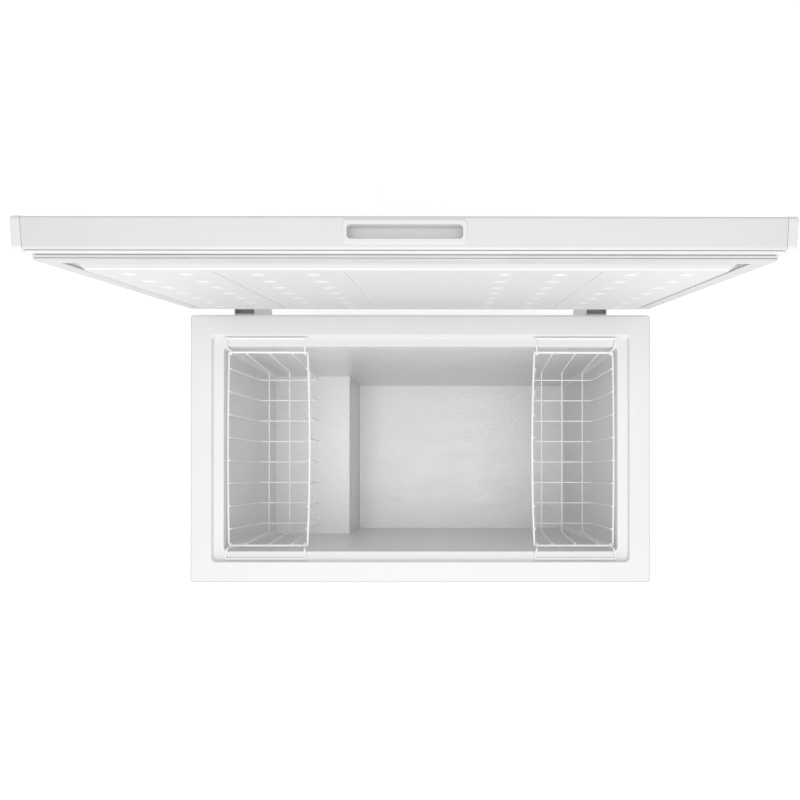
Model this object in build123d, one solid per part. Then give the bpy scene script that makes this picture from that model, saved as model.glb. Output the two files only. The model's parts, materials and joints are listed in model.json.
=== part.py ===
from build123d import *
import math
import os

# Chest freezer of the 250 litre class, drawn with its lid standing open.
# Millimetres.  The origin is on the floor under the middle of the cabinet,
# +X is to the right seen from the front, +Y is to the back and +Z is up.

# ----- Cabinet -----
RIM_Z = 796.0                        # flat top of the white rim
BASE_Z = 18.0                        # underside of the cabinet, carried by the feet
SHEET = 1.0                          # painted steel and liner sheet
WRAP_HALF_X = 513.5                  # outer faces of the painted wrap
WRAP_FRONT_Y = -297.5
WRAP_REAR_Y = 297.8
BACK_Y = 298.9                       # outer face of the back panel
WRAP_TOP_Z = 792.5
PANEL_TOP_Z = 767.5
WRAP_RADIUS = 4.0

# ----- Rim frame -----
FRAME_HALF_X = 516.8
FRAME_FRONT_Y = -303.5
FRAME_REAR_Y = 299.0
FRAME_RADIUS = 8.0
GROOVE_INSET = 2.7                   # fine groove near the frame's outer edge
GROOVE_WIDE = 1.7
GROOVE_DEEP = 1.5
SKIRT_Z = 768.0
RIM_PLATE = 3.0
LEDGE_Z = 784.0                      # ledge that the baskets hang on
LEDGE_PLATE = 2.5
LEDGE_HALF_X = 468.8
LEDGE_HALF_Y = 253.75
LEDGE_RADIUS = 10.0
BAY_Y = -1.75                        # middle of the bay, a little forward of the cabinet's
MOUTH_HALF_X = 445.0
MOUTH_HALF_Y = 231.8
MOUTH_RADIUS = 11.0
LIP = 1.8
LIP_Z = 762.0

# ----- Liner -----
LINER_HALF_X = MOUTH_HALF_X + LIP + 0.1
LINER_HALF_Y = MOUTH_HALF_Y + LIP + 0.1
LINER_RADIUS = MOUTH_RADIUS + LIP + 0.1
LINER_TOP_Z = LEDGE_Z - LEDGE_PLATE - 0.2
FLOOR_Z = 79.2
STEP_Z = 292.6                       # top of the step over the compressor
STEP_X = -225.5                      # face of the step

# ----- Compressor bay, at the left end -----
BAY_WALL_X = -276.0
BAY_ROOF_Z = 240.0
PAN_HALF_X = 512.4
PAN_FRONT_Y = -296.4
PAN_REAR_Y = 296.7
PAN_SHEET = 1.2
PAN_RADIUS = 3.5                     # front corners, inside the wrap's
TRAY_SHEET = 2.0
COMPRESSOR_X = -395.0
COMPRESSOR_Y = 90.0
COMPRESSOR_RADIUS = 78.0
COMPRESSOR_BOLTS = [(dx, dy) for dx in (-80.0, 80.0) for dy in (-55.0, 55.0)]
GROMMET_HEIGHT = 16.0
DRIER_X = -330.0
DRIER_Y = -200.0

# ----- Tubes -----
EVAPORATOR_RADIUS = 4.0               # radii of the tubes and of their bends
EVAPORATOR_BEND = 18.0
EVAPORATOR_GAP = 9.0                 # room left for the tube behind the liner
CONDENSER_RADIUS = 2.5
CONDENSER_BEND = 21.0
CONDENSER_GAP = 6.2                  # room left for the tube inside the wrap

# ----- Service panels -----
PANEL_X = -405.0
PANEL_Z = 155.0
KNOB_X = -352.0
KNOB_RADIUS = 17.0
LENS_XS = {"lens_power": -478.0, "lens_run": -456.0, "lens_alarm": -434.0}
LENS_RADIUS = 4.5
GRILLE_Z = 130.0
COVER_X = -395.0
COVER_Z = 130.0
COVER_SCREWS = [(dx, dz) for dx in (-98.0, 0.0, 98.0) for dz in (-93.0, 93.0)]
GLAND_X = -470.0
GLAND_Z = 60.0

# ----- Drain -----
DRAIN_X = 386.0
DRAIN_Y = -180.0
DRAIN_Z = 46.0
DRAIN_OUTER = 12.0
DRAIN_BORE = 10.0
DRAIN_NOSE_Y = -305.5

# ----- Feet -----
FEET = [(x, y) for x in (-480.0, 480.0) for y in (-255.0, 255.0)]

# ----- Lid, drawn closed and then turned open about its pivot -----
PIVOT_Y = 317.7
PIVOT_Z = RIM_Z + 11.3
LID_OPEN = 82.7                      # degrees
LID_FRONT_Y = -310.5
LID_REAR_Y = 312.0
LID_LOW_Z = RIM_Z + 10.7
LID_TOP_Z = RIM_Z + 54.3
SKIN_HALF_X = 506.0
CAP_INNER_X = 506.5
CAP_OUTER_X = 520.5
CAP_PROUD = 0.6
FLANGE_Z = LID_LOW_Z - 2.4           # visible side of the lid liner's flange
FLANGE_GAP = 0.8                     # shadow line between the flange and the skin's hem
PAN_FACE_Z = RIM_Z - 6.0             # visible face of the lid liner's pan
PAN_CENTRE_Y = -2.0
PAN_FACE_HALF = (458.0, 247.0)
PAN_FACE_RADIUS = 13.0
PAN_ROOT_HALF = (477.0, 261.5)
PAN_ROOT_RADIUS = 15.0
LINER_SKIN = 2.2
DIMPLE_XS = (141.0, 223.0, 329.0, 412.0)
DIMPLE_ROWS = 7
DIMPLE_FIRST_Y = -206.0
DIMPLE_PITCH = 68.8
DIMPLE_RADIUS = 17.5
DIMPLE_DEPTH = 1.6
SEAM_XS = (89.0, 278.5)
GASKET_HALF_X = 504.0
GASKET_FRONT_Y = -292.7
GASKET_REAR_Y = 298.5
GASKET_BAND = 25.0
GASKET_CORNER = 2.0
GASKET_FACE_Z = RIM_Z + 0.3

# ----- Lid handle -----
HANDLE_Z = LID_LOW_Z + 23.0
BEZEL = (165.0, 31.0)
TUB = (157.6, 23.6)
POCKET = (153.6, 18.6)
POCKET_DEPTH = 22.0

# ----- Hinges -----
HINGE_XS = {"left": -395.0, "right": 395.0}
BOX_HALF_X = 23.25
BOX_SHEET = 2.0
BOX_FRONT_Y = 299.2
BOX_REAR_Y = 345.0
BOX_LOW_Z = 640.0
BOX_TOP_Z = 795.0
WINDOW_REAR_Y = 316.0                # the box's sides are cut away below the spring seat
WINDOW_TOP_Z = 712.0
EAR_RADIUS = 5.0
PIN_RADIUS = 3.0
CHEEK_X = 14.5
CHEEK_SHEET = 2.5
PLATE_SHEET = 2.2
CRANK = 18.0
CRANK_PIN_RADIUS = 2.5
ROD_Y = 333.4
ROD_RADIUS = 3.0
SLOT_CLEARANCE = 0.6
SEAT_LOW_Z = 768.0
COLLAR_Z = 654.0
COLLAR_TALL = 4.0
SPRING_RADIUS = 7.5
SPRING_WIRE = 2.4
BOX_SCREWS = [(dx, z) for dx in (-12.0, 12.0) for z in (656.0, 752.0)]
PLATE_SCREWS = [(dx, z) for dx in (-10.0, 10.0) for z in (LID_LOW_Z + 12.0, LID_LOW_Z + 32.0)]

# ----- Baskets -----
BASKET_XS = {"left": -349.5, "right": 349.5}
BASKET_Y = -1.5
BASKET_HALF_X = 89.8                 # at the two ends
BASKET_BOW_OUT = 2.4                 # how far the side against the liner bows out
BASKET_BOW_IN = 5.0                  # and the side towards the middle of the bay
BASKET_HALF_Y = 221.0
BASKET_Z = 764.0                     # middle of the top frame wire
BASKET_FLOOR_Z = 576.0
BASKET_FLOOR_HALF_X = 74.7
BASKET_FLOOR_HALF_Y = 205.0
FLOOR_LEAN = 7.2                     # the basket's floor lies this far to the right of its frame
END_LEAN = 3.2                       # and the tops of its long wires this far
FRAME_BEND = 3.4
FRAME_WIRE = 2.4                     # radii
MESH_WIRE = 1.6
MESH_BEND = 9.0
HANDLE_WIRE = 2.2
MESH_PITCH = 52.4
CROSS_WIRES = 8
LONG_WIRES = 3
EYE_X = 84.2
EYE_WIDE = 3.6


# ---------------------------------------------------------------- helpers

def block(x0, x1, y0, y1, z0, z1):
    """Box between two corners."""
    middle = Pos((x0 + x1) / 2, (y0 + y1) / 2, (z0 + z1) / 2)
    return middle * Box(x1 - x0, y1 - y0, z1 - z0)


def slab(half_x, half_y, radius, z0, z1, y=0.0):
    """Upright prism on a rounded rectangle."""
    outline = Pos(0, y, z0) * RectangleRounded(2 * half_x, 2 * half_y, radius)
    return extrude(outline, amount=z1 - z0)


def tunnel(y0, y1, z0, z1, radius, x0, x1):
    """Prism along X on a rounded rectangle."""
    outline = Pos((y0 + y1) / 2, (z0 + z1) / 2) * RectangleRounded(y1 - y0, z1 - z0, radius)
    return extrude(Plane.YZ.offset(x0) * outline, amount=x1 - x0)


def plate_facing_front(x, z, size, radius, y0, y1):
    """Prism along Y on a rounded rectangle centred at x, z."""
    outline = Pos(x, z) * RectangleRounded(size[0], size[1], radius)
    return extrude(Plane.XZ.offset(-y1) * outline, amount=y1 - y0)


def bar(start, end, radius):
    """Round bar between two points."""
    along = Vector(*end) - Vector(*start)
    return extrude(Plane(origin=start, z_dir=along) * Circle(radius), amount=along.length)


def wire(points, radius, bend):
    """Round wire along points, with every corner bent to one radius."""
    path = FilletPolyline(*points, radius=bend)
    section = Plane(origin=path @ 0, z_dir=path % 0) * Circle(radius)
    return sweep(section, path=path)


def group(shapes):
    """Separate solids kept together in one compound."""
    return Compound([solid for shape in shapes for solid in shape.solids()])


def screw(x, y, z, direction, shank, radius=2.5, head=4.0, head_tall=2.4):
    """Pan-head screw: its head rests on the point and its shank runs along direction."""
    way = Vector(*direction)
    seat = Plane(origin=(x, y, z), z_dir=way)
    body = extrude(seat * Circle(radius), amount=shank)
    cap = extrude(seat * Circle(head), amount=-head_tall)
    cap = fillet(cap.faces().sort_by(Axis(seat.origin, way))[0].edges(), head_tall * 0.45)
    crown = Vector(x, y, z) - way * head_tall
    cross = Plane(origin=crown, z_dir=way)
    slot = extrude(cross * Rectangle(head, 0.8) + cross * Rectangle(0.8, head), amount=1.1)
    return body + cap - slot


def opened(shape):
    """The lid's own place, turned from closed to standing open."""
    return shape.rotate(Axis((0, PIVOT_Y, PIVOT_Z), (1, 0, 0)), -LID_OPEN)


# ---------------------------------------------------------------- cabinet

def drain_bore(radius):
    """Run of the drain: down from the liner floor and forward out of the front."""
    path = [(DRAIN_X, DRAIN_Y, FLOOR_Z), (DRAIN_X, DRAIN_Y, DRAIN_Z), (DRAIN_X, DRAIN_NOSE_Y, DRAIN_Z)]
    return wire(path, radius, 22.0)


def hinge_screw_shanks(radius):
    """Clearance for the hinge boxes' screws in the back of the cabinet."""
    return [
        bar((x + dx, 280.0, z), (x + dx, BOX_FRONT_Y + BOX_SHEET, z), radius)
        for x in HINGE_XS.values()
        for dx, z in BOX_SCREWS
    ]


def outer_wrap():
    """Painted steel folded round the front and both sides, with turned-in rear edges."""
    outer = block(-WRAP_HALF_X, WRAP_HALF_X, WRAP_FRONT_Y, WRAP_REAR_Y, BASE_Z, WRAP_TOP_Z)
    outer = fillet(outer.edges().filter_by(Axis.Z).group_by(Axis.Y)[0], WRAP_RADIUS)
    inner_half = WRAP_HALF_X - SHEET
    inner = block(-inner_half, inner_half, WRAP_FRONT_Y + SHEET, WRAP_REAR_Y - SHEET, 0, RIM_Z)
    inner = fillet(inner.edges().filter_by(Axis.Z).group_by(Axis.Y)[0], WRAP_RADIUS - SHEET)
    back_gap = block(-500.0, 500.0, 0, 600.0, 0, RIM_Z)
    above_panel = block(-600.0, 600.0, WRAP_REAR_Y - SHEET - WRAP_RADIUS, 600.0, PANEL_TOP_Z, RIM_Z)
    shell = outer - inner - back_gap - above_panel
    shell -= plate_facing_front(PANEL_X, PANEL_Z, (172.0, 42.0), 4.0, -310.0, -280.0)
    shell -= block(-530.0, -500.0, -125.0, 125.0, GRILLE_Z - 66.0, GRILLE_Z + 66.0)
    shell -= bar((DRAIN_X, -310.0, DRAIN_Z), (DRAIN_X, -280.0, DRAIN_Z), DRAIN_OUTER + 0.2)
    return shell


def back_panel():
    """Flat steel back, open behind the compressor."""
    panel = block(-WRAP_HALF_X, WRAP_HALF_X, WRAP_REAR_Y + 0.1, BACK_Y, BASE_Z, PANEL_TOP_Z)
    panel -= block(COVER_X - 92.0, COVER_X + 92.0, 290.0, 310.0, COVER_Z - 87.0, COVER_Z + 87.0)
    for dx, dz in COVER_SCREWS:
        spot = (COVER_X + dx, 290.0, COVER_Z + dz)
        panel -= bar(spot, (spot[0], 310.0, spot[2]), 2.1)
    for shank in hinge_screw_shanks(2.6):
        panel -= shank
    return panel


def base_pan():
    """Steel sheet under the insulation, resting on the right-hand feet."""
    pan = block(BAY_WALL_X, PAN_HALF_X, PAN_FRONT_Y, PAN_REAR_Y, BASE_Z, BASE_Z + PAN_SHEET)
    pan = round_front_corner(pan, PAN_HALF_X)
    for x, y in FEET[2:]:
        pan -= Pos(x, y, BASE_Z) * Cylinder(4.1, 10.0)
    return pan


def round_front_corner(sheet, x):
    """Round the upright edge at x and the front, to follow the wrap's fold."""
    corner = [
        edge
        for edge in sheet.edges().filter_by(Axis.Z)
        if abs((edge @ 0).X - x) < 0.01 and abs((edge @ 0).Y - PAN_FRONT_Y) < 0.01
    ]
    return fillet(corner, PAN_RADIUS)


def compressor_tray():
    """Galvanised tray that carries the compressor, with turned-up edges."""
    x0, x1 = -PAN_HALF_X, BAY_WALL_X - 0.1
    tray = block(x0, x1, PAN_FRONT_Y, PAN_REAR_Y, BASE_Z, BASE_Z + 16.0)
    tray = round_front_corner(tray, x0)
    tray -= block(
        x0 + PAN_RADIUS, x1 - TRAY_SHEET, PAN_FRONT_Y + TRAY_SHEET, PAN_REAR_Y - TRAY_SHEET,
        BASE_Z + TRAY_SHEET, 60.0,
    )
    tray -= block(
        x0 + TRAY_SHEET, x0 + PAN_RADIUS, PAN_FRONT_Y + PAN_RADIUS, PAN_REAR_Y - TRAY_SHEET,
        BASE_Z + TRAY_SHEET, 60.0,
    )
    for x, y in FEET[:2]:
        tray -= Pos(x, y, BASE_Z) * Cylinder(4.1, 10.0)
    for dx, dy in COMPRESSOR_BOLTS:
        tray -= Pos(COMPRESSOR_X + dx, COMPRESSOR_Y + dy, BASE_Z) * Cylinder(3.1, 10.0)
    return tray


def bay_partition():
    """Folded sheet between the compressor bay and the insulation: one wall and the roof."""
    low = BASE_Z + PAN_SHEET
    wall = block(BAY_WALL_X, BAY_WALL_X + SHEET, PAN_FRONT_Y, PAN_REAR_Y, low, BAY_ROOF_Z + SHEET)
    roof = block(-PAN_HALF_X, BAY_WALL_X, PAN_FRONT_Y, PAN_REAR_Y, BAY_ROOF_Z, BAY_ROOF_Z + SHEET)
    roof = round_front_corner(roof, -PAN_HALF_X)
    passage = Pos(-300.0, 250.0, BAY_ROOF_Z) * Cylinder(9.0, 20.0)
    return wall + roof - passage


def frame_outline(inset, z0, z1):
    """Prism on the outline of the rim frame, drawn in by a small amount."""
    half_y = (FRAME_REAR_Y - FRAME_FRONT_Y) / 2
    y = (FRAME_REAR_Y + FRAME_FRONT_Y) / 2
    return slab(FRAME_HALF_X - inset, half_y - inset, FRAME_RADIUS - inset, z0, z1, y)


def top_frame():
    """White moulded rim: outer skirt, flat top, step down to the basket ledge, inner lip."""
    outer = frame_outline(0.0, SKIRT_Z, RIM_Z)
    outer = fillet(outer.faces().sort_by(Axis.Z)[-1].edges(), 2.5)
    outer -= (
        frame_outline(GROOVE_INSET, RIM_Z - GROOVE_DEEP, RIM_Z + 1.0)
        - frame_outline(GROOVE_INSET + GROOVE_WIDE, RIM_Z - 5.0, RIM_Z + 5.0)
    )
    hollow = slab(
        WRAP_HALF_X + 0.1, 0.1 - WRAP_FRONT_Y, WRAP_RADIUS, SKIRT_Z, RIM_Z - RIM_PLATE
    )
    step_wall = slab(
        LEDGE_HALF_X + LEDGE_PLATE, LEDGE_HALF_Y + LEDGE_PLATE, LEDGE_RADIUS + LEDGE_PLATE,
        LEDGE_Z - LEDGE_PLATE, RIM_Z, BAY_Y,
    )
    lip_wall = slab(
        MOUTH_HALF_X + LIP, MOUTH_HALF_Y + LIP, MOUTH_RADIUS + LIP, LIP_Z, LEDGE_Z, BAY_Y
    )
    mouth = slab(MOUTH_HALF_X, MOUTH_HALF_Y, MOUTH_RADIUS, 0, RIM_Z, BAY_Y)
    recess = slab(LEDGE_HALF_X, LEDGE_HALF_Y, LEDGE_RADIUS, LEDGE_Z, RIM_Z + 5.0, BAY_Y)
    frame = outer - hollow + (step_wall & outer) + lip_wall - recess - mouth
    return soften_frame(frame)


def soften_frame(frame):
    """Round the rim's inner edge, the foot of the step and the lip's top edge."""
    inside = (LEDGE_HALF_X + 1.0, LEDGE_HALF_Y + 1.0)

    def loop_at(z, half_x, half_y):
        """Edges that lie at one height on one rounded rectangle round the bay."""
        found = []
        for edge in frame.edges():
            box = edge.bounding_box()
            if abs(box.min.Z - z) > 0.01 or abs(box.max.Z - z) > 0.01:
                continue
            middle = edge @ 0.5
            reach = max(abs(middle.X) - half_x, abs(middle.Y - BAY_Y) - half_y)
            if -12.0 < reach < 0.5:
                found.append(edge)
        return found

    frame = fillet(loop_at(RIM_Z, *inside), 2.6)
    frame = fillet(loop_at(LEDGE_Z, MOUTH_HALF_X, MOUTH_HALF_Y), 1.7)
    return frame


def liner_walls():
    """Embossed aluminium wrapped round the bay, stopping at the step on the left."""
    walls = slab(
        LINER_HALF_X + SHEET, LINER_HALF_Y + SHEET, LINER_RADIUS + SHEET,
        FLOOR_Z - SHEET, LINER_TOP_Z, BAY_Y,
    )
    walls -= slab(LINER_HALF_X, LINER_HALF_Y, LINER_RADIUS, 0, RIM_Z, BAY_Y)
    under_step = block(-600.0, STEP_X - SHEET, -400.0, 400.0, 0, STEP_Z - SHEET)
    return walls - under_step


def liner_floor():
    """One folded aluminium sheet: top of the step, its face and the floor."""
    x0, x1 = -LINER_HALF_X + 0.1, LINER_HALF_X - 0.1
    half_y = LINER_HALF_Y - 0.1
    y0, y1 = BAY_Y - half_y, BAY_Y + half_y
    solid = block(x0, x1, y0, y1, FLOOR_Z - SHEET, STEP_Z)
    above = block(STEP_X, x1 + 10.0, y0 - 5.0, y1 + 5.0, FLOOR_Z, STEP_Z + 10.0)
    above = fillet(corner_edge(above, STEP_X, FLOOR_Z), 6.0)
    below = block(x0 - 10.0, STEP_X - SHEET, y0 - 5.0, y1 + 5.0, 0, STEP_Z - SHEET)
    below = fillet(corner_edge(below, STEP_X - SHEET, STEP_Z - SHEET), 4.0)
    sheet = solid - above - below
    sheet = fillet(corner_edge(sheet, STEP_X, STEP_Z), 5.0)
    sheet &= slab(LINER_HALF_X - 0.1, half_y, LINER_RADIUS - 0.1, 0, RIM_Z, BAY_Y)
    return sheet - Pos(DRAIN_X, DRAIN_Y, FLOOR_Z) * Cylinder(DRAIN_OUTER + 0.1, 10.0)


def corner_edge(shape, x, z):
    """Edges along Y that pass through x, z."""
    return [
        edge
        for edge in shape.edges().filter_by(Axis.Y)
        if abs((edge @ 0).X - x) < 0.01 and abs((edge @ 0).Z - z) < 0.01
    ]


def cabinet_foam():
    """Polyurethane between wrap and liner, drawn back a little where the tubes run."""
    side = WRAP_HALF_X - SHEET - CONDENSER_GAP
    front = WRAP_FRONT_Y + SHEET + CONDENSER_GAP
    foam = block(-side, side, front, PAN_REAR_Y, BASE_Z + PAN_SHEET + 0.1, LINER_TOP_Z - 1.0)
    foam = fillet(foam.edges().filter_by(Axis.Z).group_by(Axis.Y)[0], CONDENSER_BEND - 3.0)
    foam -= block(-600.0, BAY_WALL_X + SHEET + 0.1, -400.0, 400.0, 0, BAY_ROOF_Z + SHEET + 0.1)
    gap = EVAPORATOR_GAP
    foam -= slab(
        LINER_HALF_X + SHEET + gap, LINER_HALF_Y + SHEET + gap, EVAPORATOR_BEND - 2.0,
        STEP_Z + 10.0, RIM_Z, BAY_Y,
    )
    low_bay = slab(
        LINER_HALF_X + SHEET + 0.1, LINER_HALF_Y + SHEET + 0.1, LINER_RADIUS + SHEET,
        FLOOR_Z - SHEET - 0.1, STEP_Z + 20.0, BAY_Y,
    )
    step = block(-600.0, STEP_X - SHEET - 0.1, -400.0, 400.0, 0, STEP_Z - SHEET - 0.1)
    low_bay -= fillet(corner_edge(step, STEP_X - SHEET - 0.1, STEP_Z - SHEET - 0.1), 4.0)
    foam -= low_bay
    foam -= drain_bore(DRAIN_OUTER + 0.2)
    for x, y in FEET[2:]:
        foam -= Pos(x, y, BASE_Z) * Cylinder(4.2, 20.0)
    for shank in hinge_screw_shanks(2.6):
        foam -= shank
    return foam


def serpentine(half_x, front_y, rear_y, levels, radius, bend):
    """Tube that runs to and fro round the left, front and right, one level above another."""
    points = []
    for index, z in enumerate(levels):
        lap = [(-half_x, rear_y, z), (-half_x, front_y, z), (half_x, front_y, z), (half_x, rear_y, z)]
        points += lap if index % 2 == 0 else lap[::-1]
    return wire(points, radius, bend)


def evaporator_coil():
    """Cold tube wrapped round the outside of the liner above the step."""
    off = SHEET + EVAPORATOR_RADIUS + 0.4
    front = BAY_Y - LINER_HALF_Y - off
    levels = [330.0 + 58.0 * step for step in range(8)]
    return serpentine(LINER_HALF_X + off, front, 215.0, levels, EVAPORATOR_RADIUS, EVAPORATOR_BEND)


def condenser_coil():
    """Warm tube that gives its heat to the painted wrap."""
    off = SHEET + CONDENSER_RADIUS + 0.5
    levels = [285.0 + 46.0 * step for step in range(11)]
    return serpentine(WRAP_HALF_X - off, WRAP_FRONT_Y + off, 250.0, levels, CONDENSER_RADIUS, CONDENSER_BEND)


# ---------------------------------------------------------------- compressor bay

def compressor():
    """Hermetic shell with its weld seam, mounting plate and three pipe stubs."""
    low = BASE_Z + TRAY_SHEET + GROMMET_HEIGHT
    shell = Pos(0, 0, low + 78.0) * Cylinder(COMPRESSOR_RADIUS, 150.0)
    shell = fillet(shell.faces().sort_by(Axis.Z)[-1].edges(), 40.0)
    shell = fillet(shell.faces().sort_by(Axis.Z)[0].edges(), 22.0)
    seam = Pos(0, 0, low + 84.0) * Cylinder(COMPRESSOR_RADIUS + 3.5, 5.0)
    plate = Pos(0, 0, low + 2.0) * Box(190.0, 136.0, 4.0)
    plate = fillet(plate.edges().filter_by(Axis.Z), 12.0)
    for dx, dy in COMPRESSOR_BOLTS:
        plate -= Pos(dx, dy, low) * Cylinder(6.2, 20.0)
    stubs = [
        bar((40.0, 60.0, low + 60.0), (52.0, 92.0, low + 60.0), 4.0),
        bar((60.0, -30.0, low + 60.0), (92.0, -42.0, low + 60.0), 3.5),
        bar((-20.0, 60.0, low + 70.0), (-24.0, 90.0, low + 70.0), 3.5),
    ]
    body = shell + seam + plate
    for stub in stubs:
        body += stub
    return Pos(COMPRESSOR_X, COMPRESSOR_Y, 0) * body


def compressor_grommets():
    """Four rubber mounts between the tray and the mounting plate."""
    z0 = BASE_Z + TRAY_SHEET
    spool = Pos(0, 0, z0 + GROMMET_HEIGHT / 2) * Cylinder(11.0, GROMMET_HEIGHT)
    neck = Pos(0, 0, z0 + GROMMET_HEIGHT + 4.0) * Cylinder(6.0, 8.0)
    cap = Pos(0, 0, z0 + GROMMET_HEIGHT + 5.5) * Cylinder(9.0, 3.0)
    hole = Pos(0, 0, z0 + 10.0) * Cylinder(3.2, 60.0)
    mount = spool + neck + cap - hole
    return group([Pos(COMPRESSOR_X + dx, COMPRESSOR_Y + dy, 0) * mount for dx, dy in COMPRESSOR_BOLTS])


def compressor_bolts():
    """Bolts up through the tray and the grommets, each with a hexagon nut."""
    top = BASE_Z + TRAY_SHEET + GROMMET_HEIGHT + 8.0
    shank = bar((0, 0, BASE_Z), (0, 0, top + 10.0), 3.0)
    nut = Pos(0, 0, top) * extrude(RegularPolygon(5.6, 6), amount=5.0)
    bolt = shank + nut
    return group([Pos(COMPRESSOR_X + dx, COMPRESSOR_Y + dy, 0) * bolt for dx, dy in COMPRESSOR_BOLTS])


def relay_cover():
    """Starter and overload under a snap-on cover at the compressor's side."""
    x = COMPRESSOR_X - COMPRESSOR_RADIUS + 1.0
    cover = block(x - 28.0, x + 20.0, COMPRESSOR_Y - 30.0, COMPRESSOR_Y + 30.0, 80.0, 150.0)
    cover = fillet(cover.edges().filter_by(Axis.Z), 5.0)
    grown = Pos(COMPRESSOR_X, COMPRESSOR_Y, 120.0) * Cylinder(COMPRESSOR_RADIUS + 4.0, 200.0)
    return cover - grown


def filter_drier():
    """Copper filter drier standing in front of the compressor."""
    barrel = bar((DRIER_X, DRIER_Y, 92.0), (DRIER_X, DRIER_Y, 176.0), 9.5)
    ends = bar((DRIER_X, DRIER_Y, 82.0), (DRIER_X, DRIER_Y, 186.0), 4.5)
    body = fillet(barrel.edges(), 4.0) + ends
    return body


def discharge_pipe():
    """From the compressor to the foot of the warm tube at the left wall."""
    low = BASE_Z + TRAY_SHEET + GROMMET_HEIGHT
    x, y = COMPRESSOR_X + 92.1, COMPRESSOR_Y - 42.04
    points = [
        (x, y, low + 60.0), (x + 13.1, y - 4.9, low + 60.0), (x + 13.1, -120.0, low + 60.0),
        (-480.0, -160.0, low + 60.0), (-480.0, -160.0, 236.0),
    ]
    return wire(points, 2.8, 9.0)


def suction_pipe():
    """Cold return from the liner down through the bay roof to the compressor."""
    low = BASE_Z + TRAY_SHEET + GROMMET_HEIGHT
    x, y = COMPRESSOR_X + 52.5, COMPRESSOR_Y + 93.5
    points = [
        (x, y, low + 60.0), (x + 6.0, 250.0, low + 60.0), (-300.0, 250.0, low + 60.0),
        (-300.0, 250.0, BAY_ROOF_Z),
    ]
    return wire(points, 3.8, 14.0)


def capillary_tube():
    """Fine tube from the drier, coiled twice against vibration, then up to the roof."""
    points = [(DRIER_X, DRIER_Y, 187.0)]
    z = 200.0
    for dx, dy in 2 * ((0, 0), (0, -50.0), (-50.0, -50.0), (-50.0, 0)):
        points.append((DRIER_X + dx, DRIER_Y + dy, z))
        z += 1.4
    points += [
        (DRIER_X, DRIER_Y + 8.0, z), (DRIER_X, DRIER_Y + 40.0, z + 4.0), (DRIER_X, DRIER_Y + 40.0, 238.0),
    ]
    return wire(points, 1.1, 5.0)


def side_grille():
    """Moulded ventilation grille let into the left side of the wrap."""
    x_out = -WRAP_HALF_X - 2.5
    plate = tunnel(-136.0, 136.0, GRILLE_Z - 76.0, GRILLE_Z + 76.0, 8.0, x_out, -WRAP_HALF_X - 0.05)
    collar = tunnel(-124.0, 124.0, GRILLE_Z - 65.0, GRILLE_Z + 65.0, 3.0, -WRAP_HALF_X - 0.05, -506.0)
    collar -= tunnel(-121.0, 121.0, GRILLE_Z - 62.0, GRILLE_Z + 62.0, 2.0, -WRAP_HALF_X - 0.05, -500.0)
    grille = plate + collar
    for index in range(15):
        y = -112.0 + 16.0 * index
        grille -= tunnel(y - 4.0, y + 4.0, GRILLE_Z - 56.0, GRILLE_Z - 3.0, 3.9, x_out - 1.0, -505.0)
        grille -= tunnel(y - 4.0, y + 4.0, GRILLE_Z + 3.0, GRILLE_Z + 56.0, 3.9, x_out - 1.0, -505.0)
    return grille


def service_cover():
    """Removable steel cover behind the compressor, with rows of breathing slots."""
    y0, y1 = BACK_Y + 0.1, BACK_Y + 1.1
    cover = plate_facing_front(COVER_X, COVER_Z, (214.0, 204.0), 6.0, y0, y1)
    for column in (-48.0, 48.0):
        for row in range(9):
            z = COVER_Z - 30.0 + 12.0 * row
            cover -= plate_facing_front(COVER_X + column, z, (76.0, 5.0), 2.4, 290.0, 310.0)
    for dx, dz in COVER_SCREWS:
        cover -= bar((COVER_X + dx, 290.0, COVER_Z + dz), (COVER_X + dx, 310.0, COVER_Z + dz), 2.1)
    return cover - bar((GLAND_X, 290.0, GLAND_Z), (GLAND_X, 310.0, GLAND_Z), 9.1)


def service_cover_screws():
    """Six screws round the service cover."""
    y = BACK_Y + 1.1
    return group([
        screw(COVER_X + dx, y, COVER_Z + dz, (0, -1, 0), 9.0, radius=2.0, head=3.8, head_tall=2.0)
        for dx, dz in COVER_SCREWS
    ])


def cord_gland():
    """Bush for the mains cord in the service cover; the cord itself isn't fitted."""
    y = BACK_Y + 1.1
    bush = bar((GLAND_X, y - 6.0, GLAND_Z), (GLAND_X, y, GLAND_Z), 9.0)
    flange = bar((GLAND_X, y, GLAND_Z), (GLAND_X, y + 3.0, GLAND_Z), 12.5)
    nose = bar((GLAND_X, y + 3.0, GLAND_Z), (GLAND_X, y + 11.0, GLAND_Z), 8.0)
    nose = fillet(nose.faces().sort_by(Axis.Y)[-1].edges(), 2.0)
    return bush + flange + nose - bar((GLAND_X, y - 10.0, GLAND_Z), (GLAND_X, y + 15.0, GLAND_Z), 3.8)


# ---------------------------------------------------------------- controls

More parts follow.
